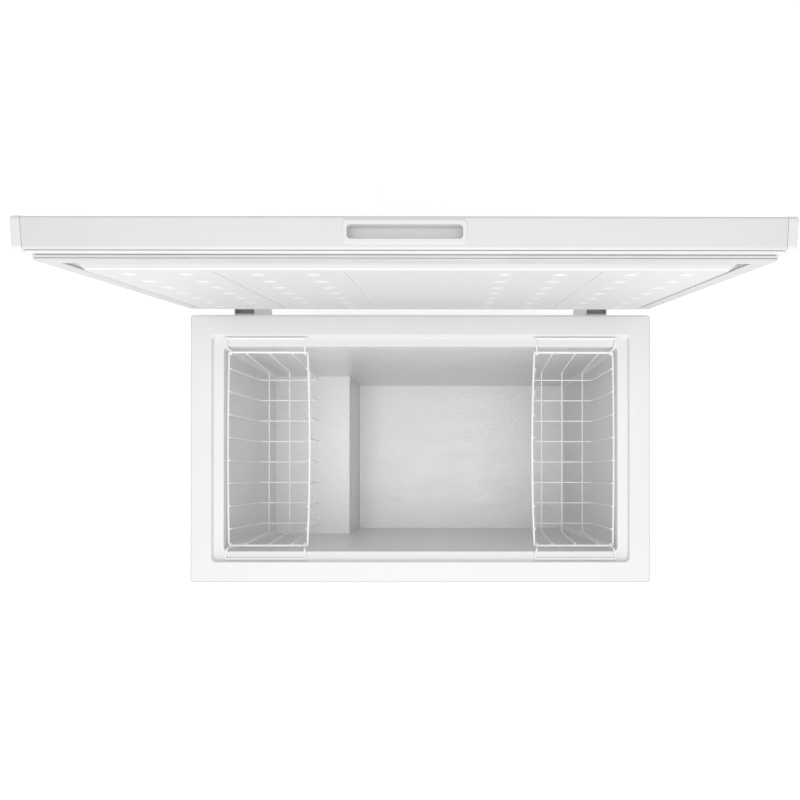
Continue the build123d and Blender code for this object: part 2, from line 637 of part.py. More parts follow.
def control_panel():
    """Moulded fascia low on the front left, holding the dial and the three lenses."""
    y_face = WRAP_FRONT_Y - 2.6
    plate = plate_facing_front(PANEL_X, PANEL_Z, (186.0, 54.0), 7.0, y_face, WRAP_FRONT_Y - 0.05)
    plate = fillet(plate.faces().sort_by(Axis.Y)[0].edges(), 1.2)
    tub = plate_facing_front(PANEL_X, PANEL_Z, (171.0, 41.0), 3.5, WRAP_FRONT_Y - 0.05, -289.0)
    tub -= plate_facing_front(PANEL_X, PANEL_Z, (167.0, 37.0), 2.0, -295.5, -280.0)
    panel = plate + tub
    dish = bar((KNOB_X, y_face - 1.0, PANEL_Z), (KNOB_X, y_face + 1.2, PANEL_Z), KNOB_RADIUS + 3.0)
    panel -= dish
    panel -= bar((KNOB_X, -310.0, PANEL_Z), (KNOB_X, -280.0, PANEL_Z), 4.2)
    for x in LENS_XS.values():
        panel -= bar((x, -310.0, PANEL_Z), (x, -280.0, PANEL_Z), LENS_RADIUS + 0.1)
    return panel


def thermostat_body():
    """Thermostat behind the panel, with the shaft that the knob turns on."""
    case = block(KNOB_X - 17.0, KNOB_X + 17.0, -288.5, -258.0, PANEL_Z - 17.0, PANEL_Z + 17.0)
    case = fillet(case.edges().filter_by(Axis.Y), 3.0)
    case -= block(KNOB_X - 30.0, KNOB_X + 30.0, -300.0, -288.5, 100.0, 200.0)
    neck = bar((KNOB_X, -295.4, PANEL_Z), (KNOB_X, -288.5, PANEL_Z), 7.0)
    shaft = bar((KNOB_X, -308.0, PANEL_Z), (KNOB_X, -295.4, PANEL_Z), 3.0)
    return case + neck + shaft


def thermostat_knob():
    """Ribbed temperature dial with a pointer."""
    y_back = WRAP_FRONT_Y - 2.6 + 0.9
    y_face = y_back - 10.5
    knob = bar((KNOB_X, y_face, PANEL_Z), (KNOB_X, y_back, PANEL_Z), KNOB_RADIUS)
    knob = fillet(knob.faces().sort_by(Axis.Y)[0].edges(), 1.5)
    for index in range(24):
        angle = math.radians(15.0 * index + 7.5)
        x = KNOB_X + (KNOB_RADIUS + 0.5) * math.cos(angle)
        z = PANEL_Z + (KNOB_RADIUS + 0.5) * math.sin(angle)
        knob -= bar((x, y_face - 1.0, z), (x, y_back - 2.0, z), 1.1)
    knob -= block(KNOB_X - 1.0, KNOB_X + 1.0, y_face - 1.0, y_face + 0.7, PANEL_Z + 3.0, PANEL_Z + 15.0)
    return knob - bar((KNOB_X, -308.5, PANEL_Z), (KNOB_X, y_back + 1.0, PANEL_Z), 3.06)


def indicator_lens(x):
    """One round indicator window."""
    y_face = WRAP_FRONT_Y - 3.4
    lens = bar((x, y_face, PANEL_Z), (x, -291.0, PANEL_Z), LENS_RADIUS)
    return fillet(lens.faces().sort_by(Axis.Y)[0].edges(), 1.0)


# ---------------------------------------------------------------- drain and feet

def inner_drain_plug():
    """Stopper in the floor of the bay, lifted out to let the water go."""
    disc = Pos(DRAIN_X, DRAIN_Y, FLOOR_Z + 2.3) * Cylinder(20.4, 4.0)
    disc = fillet(disc.faces().sort_by(Axis.Z)[-1].edges(), 1.5)
    dish = Pos(DRAIN_X, DRAIN_Y, FLOOR_Z + 4.3) * (Cylinder(15.0, 3.0) - Box(6.0, 40.0, 10.0))
    stem = bar((DRAIN_X, DRAIN_Y, FLOOR_Z - 15.0), (DRAIN_X, DRAIN_Y, FLOOR_Z + 0.4), DRAIN_BORE - 0.4)
    return disc - dish + stem


def drain_tube():
    """Elbow from the bay floor to the nose at the front of the cabinet."""
    return drain_bore(DRAIN_OUTER) - drain_bore(DRAIN_BORE)


def drain_cap():
    """Ribbed cap pushed over the nose of the drain."""
    y_back = WRAP_FRONT_Y - 0.4
    y_face = DRAIN_NOSE_Y - 3.0
    cap = bar((DRAIN_X, y_face, DRAIN_Z), (DRAIN_X, y_back, DRAIN_Z), 16.5)
    cap = fillet(cap.faces().sort_by(Axis.Y)[0].edges(), 1.5)
    for index in range(16):
        angle = math.radians(22.5 * index)
        x = DRAIN_X + 17.0 * math.cos(angle)
        z = DRAIN_Z + 17.0 * math.sin(angle)
        cap -= bar((x, y_face - 1.0, z), (x, y_back - 2.0, z), 1.3)
    bore = bar((DRAIN_X, DRAIN_NOSE_Y - 0.4, DRAIN_Z), (DRAIN_X, y_back + 1.0, DRAIN_Z), DRAIN_OUTER + 0.35)
    return cap - bore


def feet():
    """Four moulded feet, each with a stud into the base."""
    pad = Pos(0, 0, BASE_Z / 2) * Cylinder(22.0, BASE_Z)
    pad = chamfer(pad.faces().sort_by(Axis.Z)[0].edges(), 4.0)
    stud = bar((0, 0, BASE_Z), (0, 0, BASE_Z + 8.0), 4.0)
    foot = pad + stud
    return group([Pos(x, y, 0) * foot for x, y in FEET])


# ---------------------------------------------------------------- hinges

def hinge_box(x):
    """Folded steel box on the cabinet's back, with two ears for the pivot and a spring seat."""
    inner = BOX_HALF_X - BOX_SHEET
    box = block(x - BOX_HALF_X, x + BOX_HALF_X, BOX_FRONT_Y, BOX_REAR_Y, BOX_LOW_Z, BOX_TOP_Z)
    box -= block(x - inner, x + inner, BOX_FRONT_Y + BOX_SHEET, BOX_REAR_Y - BOX_SHEET, 0, RIM_Z + 20.0)
    box -= block(x - inner, x + inner, BOX_REAR_Y - 10.0, BOX_REAR_Y + 1.0, SEAT_LOW_Z + 8.0, RIM_Z + 20.0)
    box -= block(x - 30.0, x + 30.0, BOX_FRONT_Y + BOX_SHEET, WINDOW_REAR_Y, 0, WINDOW_TOP_Z)
    seat = block(
        x - inner, x + inner, BOX_FRONT_Y + BOX_SHEET, BOX_REAR_Y - BOX_SHEET,
        SEAT_LOW_Z, SEAT_LOW_Z + 3.0,
    )
    seat -= bar((x, ROD_Y, SEAT_LOW_Z - 1.0), (x, ROD_Y, SEAT_LOW_Z + 9.0), ROD_RADIUS + 0.3)
    box += seat
    for side in (-1, 1):
        box += ear(x + side * (BOX_HALF_X - BOX_SHEET / 2))
    for dx, z in BOX_SCREWS:
        box -= bar((x + dx, 290.0, z), (x + dx, 310.0, z), 2.6)
    return box - bar((x - 40.0, PIVOT_Y, PIVOT_Z), (x + 40.0, PIVOT_Y, PIVOT_Z), PIN_RADIUS)


def ear(x):
    """Rounded ear that rises from one side of the hinge box to the pivot."""
    low = BOX_TOP_Z - 1.0
    outline = make_face(Polyline(
        (308.0, low), (PIVOT_Y - EAR_RADIUS, PIVOT_Z), (PIVOT_Y + EAR_RADIUS, PIVOT_Z), (334.0, low),
        close=True,
    ))
    outline += Pos(PIVOT_Y, PIVOT_Z) * Circle(EAR_RADIUS)
    return extrude(Plane.YZ.offset(x - BOX_SHEET / 2) * outline, amount=BOX_SHEET)


def hinge_pins():
    """Pivot pins, one through each hinge, with a flat head at one end."""
    pins = []
    for x in HINGE_XS.values():
        shank = bar((x - BOX_HALF_X, PIVOT_Y, PIVOT_Z), (x + BOX_HALF_X + 2.0, PIVOT_Y, PIVOT_Z), PIN_RADIUS)
        head = bar((x - BOX_HALF_X - 2.0, PIVOT_Y, PIVOT_Z), (x - BOX_HALF_X, PIVOT_Y, PIVOT_Z), 4.6)
        pins.append(shank + head)
    return group(pins)


def crank_spot():
    """Where the crank pin stands when the lid is closed."""
    angle = math.radians(LID_OPEN / 2)
    return PIVOT_Y + CRANK * math.cos(angle), PIVOT_Z + CRANK * math.sin(angle)


def lid_bracket(x):
    """Plate on the back of the lid with two cheeks that reach the pivot and the crank pin."""
    y0, y1 = LID_REAR_Y + 0.1, LID_REAR_Y + 0.1 + PLATE_SHEET
    half = CHEEK_X + CHEEK_SHEET
    plate = block(x - half, x + half, y0, y1, LID_LOW_Z + 2.0, LID_TOP_Z - 3.0)
    crank_y, crank_z = crank_spot()
    web = make_face(Polyline(
        (y0, LID_LOW_Z + 2.0), (PIVOT_Y, PIVOT_Z - 5.3), (crank_y + 3.5, crank_z - 3.5),
        (crank_y + 1.0, crank_z + 5.0), (y1, LID_TOP_Z - 3.0), (y0, LID_TOP_Z - 3.0), close=True,
    ))
    web += Pos(PIVOT_Y, PIVOT_Z) * Circle(5.3)
    web += Pos(crank_y, crank_z) * Circle(5.0)
    bracket = plate
    for x_cheek in (x - half, x + CHEEK_X):
        bracket += extrude(Plane.YZ.offset(x_cheek) * web, amount=CHEEK_SHEET)
    bracket += bar((x - half, crank_y, crank_z), (x + half, crank_y, crank_z), CRANK_PIN_RADIUS)
    bracket -= bar((x - 40.0, PIVOT_Y, PIVOT_Z), (x + 40.0, PIVOT_Y, PIVOT_Z), PIN_RADIUS + 0.06)
    for dx, z in PLATE_SCREWS:
        bracket -= bar((x + dx, y0 - 1.0, z), (x + dx, y1 + 1.0, z), 2.6)
    return bracket


def hinge_rod(x):
    """Pull rod: slotted head on the crank pin, and a collar that squeezes the spring."""
    angle = math.radians(LID_OPEN / 2)
    pin_z = PIVOT_Z - CRANK * math.sin(angle)
    near = PIVOT_Y + CRANK * math.cos(angle)
    far = PIVOT_Y + CRANK
    reach = CRANK_PIN_RADIUS + SLOT_CLEARANCE
    middle = (near + far) / 2
    head = block(x - 4.0, x + 4.0, middle - 8.5, middle + 8.5, pin_z - 7.0, pin_z + 7.0)
    slot = tunnel(near - reach, far + reach, pin_z - reach, pin_z + reach, reach - 0.05, x - 10.0, x + 10.0)
    shank = bar((x, ROD_Y, COLLAR_Z - 6.0), (x, ROD_Y, pin_z - 6.5), ROD_RADIUS)
    collar = bar((x, ROD_Y, COLLAR_Z), (x, ROD_Y, COLLAR_Z + COLLAR_TALL), 8.3)
    return fillet(head.edges().filter_by(Axis.X), 3.0) - slot + shank + collar


def hinge_spring(x):
    """Space taken by the coiled spring between the collar and the seat."""
    z0 = COLLAR_Z + COLLAR_TALL + 0.1
    outer = bar((x, ROD_Y, z0), (x, ROD_Y, SEAT_LOW_Z), SPRING_RADIUS + SPRING_WIRE / 2)
    return outer - bar((x, ROD_Y, 0), (x, ROD_Y, RIM_Z), SPRING_RADIUS - SPRING_WIRE / 2)


def hinge_screws():
    """Screws that hold the hinge boxes to the cabinet's back."""
    return group([
        screw(x + dx, BOX_FRONT_Y + BOX_SHEET, z, (0, -1, 0), 18.0)
        for x in HINGE_XS.values()
        for dx, z in BOX_SCREWS
    ])


def lid_bracket_screws():
    """Screws that hold the brackets to the back of the lid."""
    y = LID_REAR_Y + 0.1 + PLATE_SHEET
    return group([
        screw(x + dx, y, z, (0, -1, 0), 16.0)
        for x in HINGE_XS.values()
        for dx, z in PLATE_SCREWS
    ])


# ---------------------------------------------------------------- lid

def bracket_shanks(radius):
    """Clearance for the lid bracket's screws in the back of the lid."""
    return [
        bar((x + dx, LID_REAR_Y - 16.0, z), (x + dx, LID_REAR_Y + 5.0, z), radius)
        for x in HINGE_XS.values()
        for dx, z in PLATE_SCREWS
    ]


def lid_skin():
    """Painted sheet folded over the top, front and back of the lid, open underneath."""
    skin = tunnel(LID_FRONT_Y, LID_REAR_Y, LID_LOW_Z, LID_TOP_Z, 4.0, -SKIN_HALF_X, SKIN_HALF_X)
    skin -= tunnel(
        LID_FRONT_Y + SHEET, LID_REAR_Y - SHEET, LID_LOW_Z + SHEET, LID_TOP_Z - SHEET, 3.0,
        -CAP_OUTER_X, CAP_OUTER_X,
    )
    skin -= block(-CAP_OUTER_X, CAP_OUTER_X, -298.0, 300.0, 700.0, LID_LOW_Z + 5.0)
    skin -= plate_facing_front(0, HANDLE_Z, (TUB[0] + 0.4, TUB[1] + 0.4), 4.2, -320.0, -300.0)
    for shank in bracket_shanks(2.6):
        skin -= shank
    return skin


def lid_end_cap(side):
    """Moulded cap over one end of the lid, with a lip that fits inside the skin."""
    x0, x1 = sorted((side * CAP_INNER_X, side * CAP_OUTER_X))
    y0, y1 = LID_FRONT_Y - CAP_PROUD, LID_REAR_Y + CAP_PROUD
    z0, z1 = LID_LOW_Z - CAP_PROUD, LID_TOP_Z + CAP_PROUD
    cap = tunnel(y0, y1, z0, z1, 6.0, x0, x1)
    cap = fillet(cap.faces().sort_by(Axis.X)[-1 if side > 0 else 0].edges(), 3.0)
    a, b = sorted((side * (CAP_INNER_X - 6.5), side * CAP_INNER_X))
    lip = tunnel(LID_FRONT_Y + 1.1, LID_REAR_Y - 1.1, LID_LOW_Z + 1.1, LID_TOP_Z - 1.1, 2.9, a, b)
    c, d = sorted((side * (CAP_INNER_X - 7.0), side * (CAP_OUTER_X - 2.5)))
    room = tunnel(LID_FRONT_Y + 3.1, LID_REAR_Y - 3.1, LID_LOW_Z + 3.1, LID_TOP_Z - 3.1, 2.0, c, d)
    return cap + lip - room


def pan_shape(grow, z_face, z_root):
    """Tapered block of the lid liner's pan, grown sideways by a small amount."""
    layers = []
    for half, radius, z in (
        (PAN_FACE_HALF, PAN_FACE_RADIUS, z_face), (PAN_ROOT_HALF, PAN_ROOT_RADIUS, z_root),
    ):
        outline = RectangleRounded(2 * (half[0] + grow), 2 * (half[1] + grow), radius + grow)
        layers.append(Pos(0, PAN_CENTRE_Y, z) * outline)
    return loft(layers, ruled=True)


def lid_liner():
    """Thermoformed inner panel: flange, raised pan, rows of dimples and four seams."""
    flange = block(-SKIN_HALF_X, SKIN_HALF_X, -308.0, 308.0, FLANGE_Z, LID_LOW_Z - FLANGE_GAP)
    flange = fillet(flange.edges().filter_by(Axis.Z), 3.0)
    flange += block(-500.0, 500.0, -303.0, 303.0, FLANGE_Z, LID_LOW_Z)
    pan = pan_shape(0.0, PAN_FACE_Z, LID_LOW_Z)
    pan = fillet(pan.faces().sort_by(Axis.Z)[0].edges(), 3.0)
    hollow = pan_shape(-LINER_SKIN, PAN_FACE_Z + LINER_SKIN, LID_LOW_Z)
    liner = flange + pan - hollow
    for x in SEAM_XS:
        for side in (-1, 1):
            liner -= block(
                side * x - 1.5, side * x + 1.5, PAN_CENTRE_Y - 232.0, PAN_CENTRE_Y + 232.0,
                PAN_FACE_Z - 1.0, PAN_FACE_Z + 0.9,
            )
    ball_radius = (DIMPLE_RADIUS ** 2 + DIMPLE_DEPTH ** 2) / (2 * DIMPLE_DEPTH)
    ball = Pos(0, 0, DIMPLE_DEPTH - ball_radius) * Rot(90, 0, 0) * Sphere(ball_radius)
    dish = ball & block(-20.0, 20.0, -20.0, 20.0, -1.0, 3.0)
    for x in DIMPLE_XS:
        for side in (-1, 1):
            for row in range(DIMPLE_ROWS):
                y = DIMPLE_FIRST_Y + DIMPLE_PITCH * row
                liner -= Pos(side * x, y, PAN_FACE_Z) * dish
    return liner


def lid_gasket():
    """Magnetic seal: root, bellows, groove and flat magnet strip."""
    half_y = (GASKET_REAR_Y - GASKET_FRONT_Y) / 2
    y = (GASKET_REAR_Y + GASKET_FRONT_Y) / 2

    def band(inset, z0, z1):
        """One layer of the seal, inset from both edges of the band."""
        outer = slab(GASKET_HALF_X - inset, half_y - inset, GASKET_CORNER, z0, z1, y)
        width = GASKET_BAND - inset
        inner = slab(GASKET_HALF_X - width, half_y - width, GASKET_CORNER, z0 - 1.0, z1 + 1.0, y)
        return outer - inner

    root = band(3.0, FLANGE_Z - 1.6, FLANGE_Z)
    bellows = band(0.0, GASKET_FACE_Z + 3.2, FLANGE_Z - 1.6)
    groove = band(2.5, GASKET_FACE_Z + 2.2, GASKET_FACE_Z + 3.2)
    strip = band(0.0, GASKET_FACE_Z, GASKET_FACE_Z + 2.2)
    return root + bellows + groove + strip


def lid_foam():
    """Insulation that fills the lid between skin and liner."""
    half_x = CAP_INNER_X - 7.0
    foam = tunnel(
        LID_FRONT_Y + SHEET + 0.1, LID_REAR_Y - SHEET - 0.1, LID_LOW_Z + SHEET + 0.1,
        LID_TOP_Z - SHEET - 0.1, 3.2, -half_x, half_x,
    )
    foam += pan_shape(-LINER_SKIN - 0.1, PAN_FACE_Z + LINER_SKIN + 0.1, LID_LOW_Z + SHEET + 2.0)
    tub_size = (TUB[0] + 0.4, TUB[1] + 0.4)
    foam -= plate_facing_front(0, HANDLE_Z, tub_size, 4.2, -320.0, LID_FRONT_Y + POCKET_DEPTH + 2.2)
    for shank in bracket_shanks(2.6):
        foam -= shank
    return foam


def lid_handle():
    """Recessed finger pocket let into the front of the lid, with its bezel."""
    back_y = LID_FRONT_Y + POCKET_DEPTH + 2.0
    bezel = plate_facing_front(0, HANDLE_Z, BEZEL, 6.0, LID_FRONT_Y - 1.6, LID_FRONT_Y - 0.05)
    bezel = fillet(bezel.faces().sort_by(Axis.Y)[0].edges(), 1.2)
    tub = plate_facing_front(0, HANDLE_Z, TUB, 4.0, LID_FRONT_Y - 0.05, back_y)
    pocket = plate_facing_front(0, HANDLE_Z, POCKET, 5.0, LID_FRONT_Y - 5.0, back_y - 2.0)
    pocket = fillet(pocket.faces().sort_by(Axis.Y)[-1].edges(), 4.0)
    return bezel + tub - pocket


# ---------------------------------------------------------------- baskets

def frame_x(y, side):
    """Half width of the frame at y; side is -1 or 1, and the inner side bows further."""
    bow = BASKET_BOW_IN if side > 0 else BASKET_BOW_OUT
    return BASKET_HALF_X + bow * (1 - (y / BASKET_HALF_Y) ** 2)


def basket_frame():
    """Heavy wire hoop round the top of a basket; its long sides bow outwards a little."""
    halves = []
    for end in (-1, 1):
        ys = [0.0, end * BASKET_HALF_Y / 3, end * BASKET_HALF_Y * 2 / 3, end * BASKET_HALF_Y]
        points = [(-frame_x(y, -1), y, BASKET_Z) for y in ys]
        points += [(frame_x(y, 1), y, BASKET_Z) for y in reversed(ys)]
        halves.append(wire(points, FRAME_WIRE, FRAME_BEND))
    return halves[0] + halves[1]


def cross_wire(y, lean):
    """One wire down a side, across the floor and up the other side."""
    shift = lean * FLOOR_LEAN
    inset = FRAME_WIRE + MESH_WIRE + 0.05
    points = [
        (inset - frame_x(y, -1), y, BASKET_Z + 1.0), (shift - BASKET_FLOOR_HALF_X, y, BASKET_FLOOR_Z),
        (shift + BASKET_FLOOR_HALF_X, y, BASKET_FLOOR_Z), (frame_x(y, 1) - inset, y, BASKET_Z + 1.0),
    ]
    return wire(points, MESH_WIRE, MESH_BEND)


def long_wire(x, lean):
    """One wire down an end, along under the floor and up the other end."""
    top_x = x + lean * END_LEAN
    low_x = x + lean * (FLOOR_LEAN - 1.0)
    top_y = BASKET_HALF_Y - FRAME_WIRE - MESH_WIRE - 0.05
    z = BASKET_FLOOR_Z - 2 * MESH_WIRE - 0.05
    points = [
        (top_x, -top_y, BASKET_Z + 1.0), (low_x, -BASKET_FLOOR_HALF_Y, z),
        (low_x, BASKET_FLOOR_HALF_Y, z), (top_x, top_y, BASKET_Z + 1.0),
    ]
    return wire(points, MESH_WIRE, MESH_BEND)


def basket_mesh(lean):
    """The eight cross wires and the three long wires; lean is 1 or -1, the way the floor is off."""
    ys = [MESH_PITCH * (index - (CROSS_WIRES - 1) / 2) for index in range(CROSS_WIRES)]
    xs = [MESH_PITCH * (index - (LONG_WIRES - 1) / 2) for index in range(LONG_WIRES)]
    return group([cross_wire(y, lean) for y in ys] + [long_wire(x, lean) for x in xs])


def basket_handle(end):
    """Swing handle at one end, hanging over the ledge; end is -1 in front and 1 behind."""
    bar_z = LEDGE_Z + HANDLE_WIRE + 0.35
    y = BASKET_HALF_Y
    arm_foot = (EYE_X, end * y, BASKET_Z)
    lift = Vector(3.0, end * 6.0, bar_z - BASKET_Z)
    start = Vector(*arm_foot) + lift.normalized() * 4.4
    right = [
        (start.X, start.Y, start.Z), (EYE_X + 3.0, end * (y + 6.0), bar_z),
        (EYE_X + 8.0, end * (y + 27.7), bar_z),
    ]
    left = [(-px, py, pz) for px, py, pz in reversed(right)]
    handle = wire(right + left, HANDLE_WIRE, 3.6)
    for side in (-1, 1):
        x = side * EYE_X
        eye = bar((x - EYE_WIDE / 2, end * y, BASKET_Z), (x + EYE_WIDE / 2, end * y, BASKET_Z), 6.4)
        eye -= bar((x - 9.0, end * y, BASKET_Z), (x + 9.0, end * y, BASKET_Z), FRAME_WIRE + 0.35)
        handle += eye
    hole = bar((-100.0, end * y, BASKET_Z), (100.0, end * y, BASKET_Z), FRAME_WIRE + 0.35)
    return handle - hole


# ---------------------------------------------------------------- nodes

def build_nodes():
    """Every node of the freezer, by name."""
    nodes = {
        "outer_wrap": outer_wrap(),
        "back_panel": back_panel(),
        "base_pan": base_pan(),
        "compressor_tray": compressor_tray(),
        "bay_partition": bay_partition(),
        "top_frame": top_frame(),
        "liner_walls": liner_walls(),
        "liner_floor": liner_floor(),
        "cabinet_foam": cabinet_foam(),
        "evaporator_coil": evaporator_coil(),
        "condenser_coil": condenser_coil(),
        "compressor": compressor(),
        "compressor_grommets": compressor_grommets(),
        "compressor_bolts": compressor_bolts(),
        "relay_cover": relay_cover(),
        "filter_drier": filter_drier(),
        "discharge_pipe": discharge_pipe(),
        "suction_pipe": suction_pipe(),
        "capillary_tube": capillary_tube(),
        "side_grille": side_grille(),
        "service_cover": service_cover(),
        "service_cover_screws": service_cover_screws(),
        "cord_gland": cord_gland(),
        "control_panel": control_panel(),
        "thermostat_body": thermostat_body(),
        "thermostat_knob": thermostat_knob(),
        "inner_drain_plug": inner_drain_plug(),
        "drain_tube": drain_tube(),
        "drain_cap": drain_cap(),
        "feet": feet(),
        "hinge_pins": hinge_pins(),
        "hinge_screws": hinge_screws(),
        "lid_bracket_screws": opened(lid_bracket_screws()),
        "lid_skin": opened(lid_skin()),
        "lid_end_cap_left": opened(lid_end_cap(-1)),
        "lid_end_cap_right": opened(lid_end_cap(1)),
        "lid_liner": opened(lid_liner()),
        "lid_gasket": opened(lid_gasket()),
        "lid_foam": opened(lid_foam()),
        "lid_handle": opened(lid_handle()),
    }
    for name, x in LENS_XS.items():
        nodes[name] = indicator_lens(x)
    for side, x in HINGE_XS.items():
        nodes[f"hinge_box_{side}"] = hinge_box(x)
        nodes[f"lid_bracket_{side}"] = opened(lid_bracket(x))
        nodes[f"hinge_rod_{side}"] = hinge_rod(x)
        nodes[f"hinge_spring_{side}"] = hinge_spring(x)
    for side, x in BASKET_XS.items():
        place = Pos(x, BASKET_Y, 0)
        turned = place if side == "left" else place * Rot(0, 0, 180)
        nodes[f"basket_frame_{side}"] = turned * basket_frame()
        nodes[f"basket_mesh_{side}"] = turned * basket_mesh(1 if side == "left" else -1)
        nodes[f"basket_handle_{side}_front"] = place * basket_handle(-1)
        nodes[f"basket_handle_{side}_rear"] = place * basket_handle(1)
    return nodes


os.makedirs("parts", exist_ok=True)
for node_name, shape in build_nodes().items():
    export_step(shape, f"parts/{node_name}.step")
    print(node_name, round(shape.volume))
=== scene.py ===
import json
import math

import bpy
from mathutils import Matrix, Vector


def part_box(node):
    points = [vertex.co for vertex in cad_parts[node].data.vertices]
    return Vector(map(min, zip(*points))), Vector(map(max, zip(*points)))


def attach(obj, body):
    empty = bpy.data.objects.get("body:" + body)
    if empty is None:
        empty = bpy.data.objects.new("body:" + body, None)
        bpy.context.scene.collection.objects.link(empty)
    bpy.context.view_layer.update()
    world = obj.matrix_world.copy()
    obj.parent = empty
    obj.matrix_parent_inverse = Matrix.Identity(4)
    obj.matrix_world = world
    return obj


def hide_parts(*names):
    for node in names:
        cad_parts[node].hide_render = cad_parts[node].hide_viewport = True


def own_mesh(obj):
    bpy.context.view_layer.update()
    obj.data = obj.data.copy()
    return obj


# Chest freezer with its lid open, on a white studio floor.
# Metres, in the frame of the CAD model: origin on the floor under the middle
# of the cabinet, +X right, +Y back, +Z up.

# ----- Camera -----
CAMERA_PLACE = (0.05043, -0.06043, 2.34004)
CAMERA_TILT = (-0.18, 0.16, -0.02)       # degrees off straight down
LENS = 30.963
SENSOR = 36.0
SHIFT = (-0.0562, 0.0907)

# ----- Light -----
SKY_STRENGTH = 0.545
TOP_LIGHT_POWER = 47.0
FRONT_LIGHT_POWER = 47.0
HIGH_FRONT_LIGHT_POWER = 24.0
FLOOR_GLOW = 0.37

# ----- Lid -----
LID_OPEN = 82.7                          # degrees
LID_PIVOT = (0.3177, 0.8073)             # y and z
PANEL_BELOW_PIVOT = 0.0173               # of the closed lid
# dimples painted paler: painted highlight
DIMPLE_PAINTED_HIGHLIGHT = 1.2
# flange painted paler: painted light
FLANGE_PAINTED_LIGHT = 1.14

# ----- Details made here -----
SPRING_RADIUS = 0.0075
SPRING_WIRE = 0.0012
SPRING_TURNS = 15
SPRING_DEAD_TURNS = 1.25                 # closed turns at each end
SPRING_STEPS = 28                        # points in one turn

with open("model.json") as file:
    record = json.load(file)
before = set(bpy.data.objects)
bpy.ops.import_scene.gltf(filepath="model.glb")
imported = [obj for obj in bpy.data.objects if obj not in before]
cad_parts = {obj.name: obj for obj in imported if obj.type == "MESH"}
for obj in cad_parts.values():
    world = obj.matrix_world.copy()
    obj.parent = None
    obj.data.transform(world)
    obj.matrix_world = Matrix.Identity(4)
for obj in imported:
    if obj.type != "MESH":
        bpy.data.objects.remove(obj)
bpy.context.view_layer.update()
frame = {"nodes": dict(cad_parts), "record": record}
nodes = frame["nodes"]


# ---------------------------------------------------------------- node helpers

class Shader:
    """A Principled material with short calls for the nodes around it."""

    def __init__(self, name, **sockets):
        self.material = bpy.data.materials.new(name)
        self.material.use_nodes = True
        self.tree = self.material.node_tree
        self.principled = self.tree.nodes["Principled BSDF"]
        for key, value in sockets.items():
            self.principled.inputs[key.replace("_", " ")].default_value = value
        self.coordinates = self.tree.nodes.new("ShaderNodeTexCoord").outputs["Object"]
        self.normal = None

    def link(self, source, target):
        self.tree.links.new(source, target)

    def set_or_link(self, socket, value):
        if isinstance(value, bpy.types.NodeSocket):
            self.link(value, socket)
        else:
            socket.default_value = value

    def stretched(self, scale):
        """Object coordinates multiplied by three factors."""
        node = self.tree.nodes.new("ShaderNodeMapping")
        node.inputs["Scale"].default_value = scale
        self.link(self.coordinates, node.inputs["Vector"])
        return node.outputs["Vector"]

    def noise(self, scale, detail=2.0, roughness=0.5, vector=None):
        node = self.tree.nodes.new("ShaderNodeTexNoise")
        node.inputs["Scale"].default_value = scale
        node.inputs["Detail"].default_value = detail
        node.inputs["Roughness"].default_value = roughness
        self.link(vector or self.coordinates, node.inputs["Vector"])
        return node.outputs["Fac"]

    def cells(self, scale, feature="F1", output="Distance", vector=None, randomness=1.0):
        node = self.tree.nodes.new("ShaderNodeTexVoronoi")
        node.feature = feature
        node.inputs["Scale"].default_value = scale
        node.inputs["Randomness"].default_value = randomness
        self.link(vector or self.coordinates, node.inputs["Vector"])
        return node.outputs[output]

    def remap(self, value, from_low, from_high, low, high):
        node = self.tree.nodes.new("ShaderNodeMapRange")
        self.link(value, node.inputs["Value"])
        node.inputs["From Min"].default_value = from_low
        node.inputs["From Max"].default_value = from_high
        node.inputs["To Min"].default_value = low
        node.inputs["To Max"].default_value = high
        return node.outputs["Result"]

    def mix(self, factor, first, second):
        node = self.tree.nodes.new("ShaderNodeMix")
        node.data_type = "RGBA"
        self.set_or_link(node.inputs["Factor"], factor)
        self.set_or_link(node.inputs["A"], first)
        self.set_or_link(node.inputs["B"], second)
        return node.outputs["Result"]

    def sum(self, first, second, operation="ADD"):
        node = self.tree.nodes.new("ShaderNodeMath")
        node.operation = operation
        self.set_or_link(node.inputs[0], first)
        self.set_or_link(node.inputs[1], second)
        return node.outputs["Value"]

    def bump(self, height, strength, distance):
        node = self.tree.nodes.new("ShaderNodeBump")
        node.inputs["Strength"].default_value = strength
        node.inputs["Distance"].default_value = distance
        self.link(height, node.inputs["Height"])
        if self.normal is not None:
            self.link(self.normal, node.inputs["Normal"])
        self.normal = node.outputs["Normal"]
        self.link(self.normal, self.principled.inputs["Normal"])

    def colour(self, value):
        self.set_or_link(self.principled.inputs["Base Color"], value)

    def roughness(self, value):
        self.set_or_link(self.principled.inputs["Roughness"], value)


def shade(rgb, factor):
    """A colour made lighter or darker."""
    return tuple(min(1.0, channel * factor) for channel in rgb) + (1.0,)


# ---------------------------------------------------------------- materials

def painted_sheet(name, rgb):
    """Gloss paint on rolled steel with a faint orange peel."""
    look = Shader(name, Coat_Weight=0.3, Coat_Roughness=0.15)
    tone = look.noise(1.6, detail=1.0)
    look.colour(look.mix(look.remap(tone, 0.2, 0.8, 0.0, 1.0), shade(rgb, 0.99), shade(rgb, 1.0)))
    look.roughness(look.remap(look.noise(26.0, detail=3.0), 0.2, 0.8, 0.30, 0.36))
    look.bump(look.noise(620.0, detail=1.5), 0.04, 0.0003)
    return look.material


